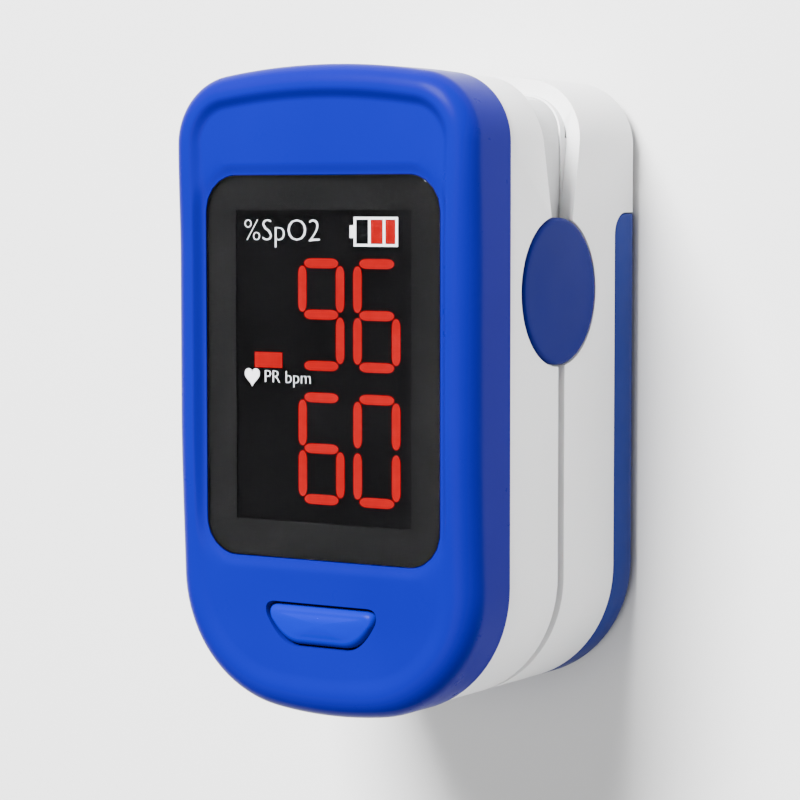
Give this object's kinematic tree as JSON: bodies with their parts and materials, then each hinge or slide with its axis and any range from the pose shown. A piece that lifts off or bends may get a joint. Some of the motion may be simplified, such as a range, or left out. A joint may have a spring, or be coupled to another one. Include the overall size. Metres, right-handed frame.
{
  "type": "fingertip pulse oximeter",
  "caption": "Fingertip pulse oximeter: sprung two-part clip with a finger channel, dished display face, power button, side hinge caps and sliding battery cover.",
  "frame": {"origin": "middle of the case on the outer face of the battery cover, which it rests on", "axes": "+X across the display to its right side, +Y to the finger end, +Z out of the display"},
  "size_m": [0.032, 0.0586, 0.0316],
  "materials": {
    "blue_plastic": "glossy moulded blue",
    "button_blue": "glossy bright blue",
    "cap_blue": "satin dark blue",
    "cover_blue": "satin grey-blue",
    "white_plastic": "satin white moulding",
    "inner_plastic": "fine matt light grey",
    "lens_glass": "polished clear window",
    "mask_black": "printed black",
    "display_black": "dark display glass",
    "lit_red": "lit red",
    "pad_silicone": "soft grey silicone",
    "window_clear": "tinted clear window",
    "board_green": "solder mask",
    "chip_black": "moulded package",
    "part_steel": "bright steel",
    "contact_nickel": "nickel plated",
    "capacitor_tan": "ceramic",
    "emitter_amber": "clear resin package",
    "flex_amber": "polyimide film",
    "battery_wrap": "printed metal wrap",
    "switch_grey": "moulded switch"
  },
  "bodies": {
    "battery_half": {"lower_housing": "white_plastic", "lower_bed": "inner_plastic", "lower_pad": "pad_silicone", "sensor_window": "window_clear", "sensor_board": "board_green", "light_sensor": "chip_black", "lower_screws": "part_steel", "lower_flex": "flex_amber", "battery_left": "battery_wrap", "battery_right": "battery_wrap", "positive_contact": "contact_nickel", "negative_contact": "contact_nickel", "bridge_contact": "contact_nickel", "clip_spring_right": "part_steel", "clip_spring_left": "part_steel", "spring_anchor_right": "part_steel", "spring_anchor_left": "part_steel"},
    "display_half": {"front_cover": "blue_plastic", "display_lens": "lens_glass", "lens_mask": "mask_black", "display_module": "display_black", "oxygen_digits": "lit_red", "pulse_digits": "lit_red", "display_holder": "inner_plastic", "tact_switch": "switch_grey", "main_board": "board_green", "processor_chip": "chip_black", "driver_chip": "chip_black", "crystal": "part_steel", "capacitors": "capacitor_tan", "sounder": "chip_black", "flex_connector": "switch_grey", "upper_housing": "white_plastic", "upper_bed": "inner_plastic", "upper_pad": "pad_silicone", "emitter_window": "window_clear", "emitter_board": "board_green", "emitter": "emitter_amber", "emitter_leads": "contact_nickel", "upper_screws": "part_steel", "upper_flex": "flex_amber", "hinge_pin_right": "part_steel", "hinge_pin_left": "part_steel", "hinge_cap_right": "cap_blue", "hinge_cap_left": "cap_blue"},
    "power_button": {"power_button": "button_blue"},
    "switch_plunger": {"switch_plunger": "chip_black"},
    "battery_cover": {"battery_cover": "cover_blue"}
  },
  "joints": [
    {"name": "clip_open", "type": "hinge", "parent": "battery_half", "child": "display_half", "pos_m": [0, -0.0242, 0.015], "axis": [1, 0, 0], "range_deg": [0, 9], "stiffness_Nm_per_rad": 1.2, "springref_deg": -6.88, "deforming": ["clip_spring_right", "clip_spring_left"]},
    {"name": "button_press", "type": "slide", "parent": "display_half", "child": "power_button", "axis": [0, 0, -1], "range_m": [0, 0.0003], "stiffness_N_per_m": 400, "springref_m": -0.0004},
    {"name": "plunger_press", "type": "slide", "parent": "display_half", "child": "switch_plunger", "axis": [0, 0, -1], "range_m": [0, 0.0003]},
    {"name": "cover_slide", "type": "slide", "parent": "battery_half", "child": "battery_cover", "axis": [0, -1, 0], "range_m": [0, 0.05]}
  ],
  "couplings": [
    {"joint": "plunger_press", "follows": "button_press", "ratio": 1}
  ]
}
